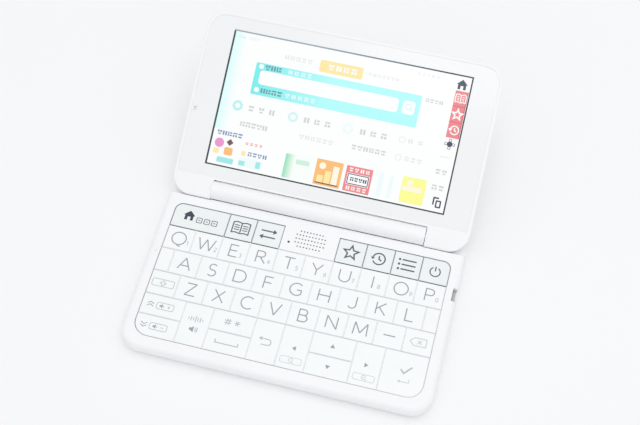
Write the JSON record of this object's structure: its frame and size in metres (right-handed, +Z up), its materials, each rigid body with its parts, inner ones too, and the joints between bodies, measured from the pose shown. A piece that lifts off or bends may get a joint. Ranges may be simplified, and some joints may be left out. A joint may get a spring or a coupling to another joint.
{
  "type": "electronic dictionary",
  "caption": "Pocket electronic dictionary: a slim base with a tiled letter keyboard, speaker grille and hinge barrel, and a friction-hinged lid with a wide touch display.",
  "frame": {"origin": "on the desk, in the middle of the ground covered by the base and the open lid", "axes": "+X to the right of the keyboard, +Y to the rear, +Z up from the desk"},
  "size_m": [0.1528, 0.172, 0.0547],
  "materials": {
    "case_white": "white satin moulded plastic",
    "key_tile": "pale hard-coated key tile",
    "function_key": "grey tinted key tile",
    "bezel_glass": "back-printed touch sheet, pale bluish border",
    "display": "lit colour display",
    "silicone": "translucent grey silicone",
    "board": "green circuit board",
    "battery_film": "foil pouch",
    "speaker_black": "black speaker",
    "socket_metal": "plated sheet steel",
    "foot_rubber": "grey rubber",
    "steel": "ground steel"
  },
  "bodies": {
    "base": {"upper_case": "case_white", "lower_case": "case_white", "key_mat": "silicone", "main_board": "board", "battery": "battery_film", "speaker": "speaker_black", "charging_socket": "socket_metal", "rubber_feet": "foot_rubber", "hinge_shafts": "steel"},
    "lid": {"lid_back_cover": "case_white", "lid_front_frame": "case_white", "touch_glass": "bezel_glass", "display_module": "display"},
    "key_home": {"key_home": "function_key"},
    "key_dictionary_a": {"key_dictionary_a": "function_key"},
    "key_dictionary_b": {"key_dictionary_b": "function_key"},
    "key_my_words": {"key_my_words": "function_key"},
    "key_history": {"key_history": "function_key"},
    "key_index": {"key_index": "function_key"},
    "key_power": {"key_power": "function_key"},
    "key_shift": {"key_shift": "key_tile"},
    "key_dash": {"key_dash": "key_tile"},
    "key_delete": {"key_delete": "key_tile"},
    "key_volume_up": {"key_volume_up": "key_tile"},
    "key_volume_down": {"key_volume_down": "key_tile"},
    "key_voice": {"key_voice": "key_tile"},
    "key_symbol": {"key_symbol": "key_tile"},
    "key_space": {"key_space": "key_tile"},
    "key_back": {"key_back": "key_tile"},
    "key_left": {"key_left": "key_tile"},
    "key_up": {"key_up": "key_tile"},
    "key_down": {"key_down": "key_tile"},
    "key_right": {"key_right": "key_tile"},
    "key_enter": {"key_enter": "key_tile"},
    "key_q": {"key_q": "key_tile"},
    "key_w": {"key_w": "key_tile"},
    "key_e": {"key_e": "key_tile"},
    "key_r": {"key_r": "key_tile"},
    "key_t": {"key_t": "key_tile"},
    "key_y": {"key_y": "key_tile"},
    "key_u": {"key_u": "key_tile"},
    "key_i": {"key_i": "key_tile"},
    "key_o": {"key_o": "key_tile"},
    "key_p": {"key_p": "key_tile"},
    "key_a": {"key_a": "key_tile"},
    "key_s": {"key_s": "key_tile"},
    "key_d": {"key_d": "key_tile"},
    "key_f": {"key_f": "key_tile"},
    "key_g": {"key_g": "key_tile"},
    "key_h": {"key_h": "key_tile"},
    "key_j": {"key_j": "key_tile"},
    "key_k": {"key_k": "key_tile"},
    "key_l": {"key_l": "key_tile"},
    "key_z": {"key_z": "key_tile"},
    "key_x": {"key_x": "key_tile"},
    "key_c": {"key_c": "key_tile"},
    "key_v": {"key_v": "key_tile"},
    "key_b": {"key_b": "key_tile"},
    "key_n": {"key_n": "key_tile"},
    "key_m": {"key_m": "key_tile"}
  },
  "joints": [
    {"name": "lid_hinge", "type": "hinge", "parent": "base", "child": "lid", "pos_m": [0, 0.0043, 0.012], "axis": [1, 0, 0], "range_deg": [-2.3, 152.7]},
    {"name": "key_home_press", "type": "slide", "parent": "base", "child": "key_home", "axis": [0, 0, -1], "range_m": [0, 0.0005], "stiffness_N_per_m": 1200},
    {"name": "key_dictionary_a_press", "type": "slide", "parent": "base", "child": "key_dictionary_a", "axis": [0, 0, -1], "range_m": [0, 0.0005], "stiffness_N_per_m": 1200},
    {"name": "key_dictionary_b_press", "type": "slide", "parent": "base", "child": "key_dictionary_b", "axis": [0, 0, -1], "range_m": [0, 0.0005], "stiffness_N_per_m": 1200},
    {"name": "key_my_words_press", "type": "slide", "parent": "base", "child": "key_my_words", "axis": [0, 0, -1], "range_m": [0, 0.0005], "stiffness_N_per_m": 1200},
    {"name": "key_history_press", "type": "slide", "parent": "base", "child": "key_history", "axis": [0, 0, -1], "range_m": [0, 0.0005], "stiffness_N_per_m": 1200},
    {"name": "key_index_press", "type": "slide", "parent": "base", "child": "key_index", "axis": [0, 0, -1], "range_m": [0, 0.0005], "stiffness_N_per_m": 1200},
    {"name": "key_power_press", "type": "slide", "parent": "base", "child": "key_power", "axis": [0, 0, -1], "range_m": [0, 0.0005], "stiffness_N_per_m": 1200},
    {"name": "key_shift_press", "type": "slide", "parent": "base", "child": "key_shift", "axis": [0, 0, -1], "range_m": [0, 0.0005], "stiffness_N_per_m": 1200},
    {"name": "key_dash_press", "type": "slide", "parent": "base", "child": "key_dash", "axis": [0, 0, -1], "range_m": [0, 0.0005], "stiffness_N_per_m": 1200},
    {"name": "key_delete_press", "type": "slide", "parent": "base", "child": "key_delete", "axis": [0, 0, -1], "range_m": [0, 0.0005], "stiffness_N_per_m": 1200},
    {"name": "key_volume_up_press", "type": "slide", "parent": "base", "child": "key_volume_up", "axis": [0, 0, -1], "range_m": [0, 0.0005], "stiffness_N_per_m": 1200},
    {"name": "key_volume_down_press", "type": "slide", "parent": "base", "child": "key_volume_down", "axis": [0, 0, -1], "range_m": [0, 0.0005], "stiffness_N_per_m": 1200},
    {"name": "key_voice_press", "type": "slide", "parent": "base", "child": "key_voice", "axis": [0, 0, -1], "range_m": [0, 0.0005], "stiffness_N_per_m": 1200},
    {"name": "key_symbol_press", "type": "slide", "parent": "base", "child": "key_symbol", "axis": [0, 0, -1], "range_m": [0, 0.0005], "stiffness_N_per_m": 1200},
    {"name": "key_space_press", "type": "slide", "parent": "base", "child": "key_space", "axis": [0, 0, -1], "range_m": [0, 0.0005], "stiffness_N_per_m": 1200},
    {"name": "key_back_press", "type": "slide", "parent": "base", "child": "key_back", "axis": [0, 0, -1], "range_m": [0, 0.0005], "stiffness_N_per_m": 1200},
    {"name": "key_left_press", "type": "slide", "parent": "base", "child": "key_left", "axis": [0, 0, -1], "range_m": [0, 0.0005], "stiffness_N_per_m": 1200},
    {"name": "key_up_press", "type": "slide", "parent": "base", "child": "key_up", "axis": [0, 0, -1], "range_m": [0, 0.0005], "stiffness_N_per_m": 1200},
    {"name": "key_down_press", "type": "slide", "parent": "base", "child": "key_down", "axis": [0, 0, -1], "range_m": [0, 0.0005], "stiffness_N_per_m": 1200},
    {"name": "key_right_press", "type": "slide", "parent": "base", "child": "key_right", "axis": [0, 0, -1], "range_m": [0, 0.0005], "stiffness_N_per_m": 1200},
    {"name": "key_enter_press", "type": "slide", "parent": "base", "child": "key_enter", "axis": [0, 0, -1], "range_m": [0, 0.0005], "stiffness_N_per_m": 1200},
    {"name": "key_q_press", "type": "slide", "parent": "base", "child": "key_q", "axis": [0, 0, -1], "range_m": [0, 0.0005], "stiffness_N_per_m": 1200},
    {"name": "key_w_press", "type": "slide", "parent": "base", "child": "key_w", "axis": [0, 0, -1], "range_m": [0, 0.0005], "stiffness_N_per_m": 1200},
    {"name": "key_e_press", "type": "slide", "parent": "base", "child": "key_e", "axis": [0, 0, -1], "range_m": [0, 0.0005], "stiffness_N_per_m": 1200},
    {"name": "key_r_press", "type": "slide", "parent": "base", "child": "key_r", "axis": [0, 0, -1], "range_m": [0, 0.0005], "stiffness_N_per_m": 1200},
    {"name": "key_t_press", "type": "slide", "parent": "base", "child": "key_t", "axis": [0, 0, -1], "range_m": [0, 0.0005], "stiffness_N_per_m": 1200},
    {"name": "key_y_press", "type": "slide", "parent": "base", "child": "key_y", "axis": [0, 0, -1], "range_m": [0, 0.0005], "stiffness_N_per_m": 1200},
    {"name": "key_u_press", "type": "slide", "parent": "base", "child": "key_u", "axis": [0, 0, -1], "range_m": [0, 0.0005], "stiffness_N_per_m": 1200},
    {"name": "key_i_press", "type": "slide", "parent": "base", "child": "key_i", "axis": [0, 0, -1], "range_m": [0, 0.0005], "stiffness_N_per_m": 1200},
    {"name": "key_o_press", "type": "slide", "parent": "base", "child": "key_o", "axis": [0, 0, -1], "range_m": [0, 0.0005], "stiffness_N_per_m": 1200},
    {"name": "key_p_press", "type": "slide", "parent": "base", "child": "key_p", "axis": [0, 0, -1], "range_m": [0, 0.0005], "stiffness_N_per_m": 1200},
    {"name": "key_a_press", "type": "slide", "parent": "base", "child": "key_a", "axis": [0, 0, -1], "range_m": [0, 0.0005], "stiffness_N_per_m": 1200},
    {"name": "key_s_press", "type": "slide", "parent": "base", "child": "key_s", "axis": [0, 0, -1], "range_m": [0, 0.0005], "stiffness_N_per_m": 1200},
    {"name": "key_d_press", "type": "slide", "parent": "base", "child": "key_d", "axis": [0, 0, -1], "range_m": [0, 0.0005], "stiffness_N_per_m": 1200},
    {"name": "key_f_press", "type": "slide", "parent": "base", "child": "key_f", "axis": [0, 0, -1], "range_m": [0, 0.0005], "stiffness_N_per_m": 1200},
    {"name": "key_g_press", "type": "slide", "parent": "base", "child": "key_g", "axis": [0, 0, -1], "range_m": [0, 0.0005], "stiffness_N_per_m": 1200},
    {"name": "key_h_press", "type": "slide", "parent": "base", "child": "key_h", "axis": [0, 0, -1], "range_m": [0, 0.0005], "stiffness_N_per_m": 1200},
    {"name": "key_j_press", "type": "slide", "parent": "base", "child": "key_j", "axis": [0, 0, -1], "range_m": [0, 0.0005], "stiffness_N_per_m": 1200},
    {"name": "key_k_press", "type": "slide", "parent": "base", "child": "key_k", "axis": [0, 0, -1], "range_m": [0, 0.0005], "stiffness_N_per_m": 1200},
    {"name": "key_l_press", "type": "slide", "parent": "base", "child": "key_l", "axis": [0, 0, -1], "range_m": [0, 0.0005], "stiffness_N_per_m": 1200},
    {"name": "key_z_press", "type": "slide", "parent": "base", "child": "key_z", "axis": [0, 0, -1], "range_m": [0, 0.0005], "stiffness_N_per_m": 1200},
    {"name": "key_x_press", "type": "slide", "parent": "base", "child": "key_x", "axis": [0, 0, -1], "range_m": [0, 0.0005], "stiffness_N_per_m": 1200},
    {"name": "key_c_press", "type": "slide", "parent": "base", "child": "key_c", "axis": [0, 0, -1], "range_m": [0, 0.0005], "stiffness_N_per_m": 1200},
    {"name": "key_v_press", "type": "slide", "parent": "base", "child": "key_v", "axis": [0, 0, -1], "range_m": [0, 0.0005], "stiffness_N_per_m": 1200},
    {"name": "key_b_press", "type": "slide", "parent": "base", "child": "key_b", "axis": [0, 0, -1], "range_m": [0, 0.0005], "stiffness_N_per_m": 1200},
    {"name": "key_n_press", "type": "slide", "parent": "base", "child": "key_n", "axis": [0, 0, -1], "range_m": [0, 0.0005], "stiffness_N_per_m": 1200},
    {"name": "key_m_press", "type": "slide", "parent": "base", "child": "key_m", "axis": [0, 0, -1], "range_m": [0, 0.0005], "stiffness_N_per_m": 1200}
  ]
}
